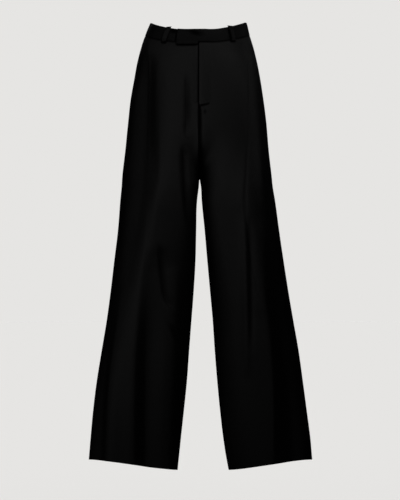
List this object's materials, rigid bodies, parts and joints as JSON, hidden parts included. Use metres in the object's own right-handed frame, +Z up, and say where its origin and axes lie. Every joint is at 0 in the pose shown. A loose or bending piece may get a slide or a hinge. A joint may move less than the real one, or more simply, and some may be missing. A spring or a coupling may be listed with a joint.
{
  "type": "straight-leg trousers",
  "caption": "High-waisted straight-leg trousers, filled out and hollow, with a lapped tab waistband, belt loops, a fly front and open hems.",
  "frame": {"origin": "centre of the waist opening, at the mean height of the waistband's top edge, on the centre front line", "axes": "+Z up along the garment towards the waist, -Y towards the front (the side with the fly), +X towards the wearer's left leg"},
  "size_m": [0.5826, 0.2409, 1.1641],
  "materials": {
    "suiting_cloth": "matt near-black plain-weave suiting with a faint sheen",
    "band_cloth": "the same suiting doubled over canvas",
    "loop_cloth": "the same suiting folded into a narrow strip"
  },
  "bodies": {
    "root": {"leg_front_right": "suiting_cloth", "leg_front_left": "suiting_cloth", "leg_back_right": "suiting_cloth", "leg_back_left": "suiting_cloth", "waistband_right": "band_cloth", "waistband_left": "band_cloth", "belt_loop_front_right": "loop_cloth", "belt_loop_front_left": "loop_cloth", "belt_loop_back_right": "loop_cloth", "belt_loop_back_left": "loop_cloth", "belt_loop_centre_back": "loop_cloth"}
  },
  "joints": []
}
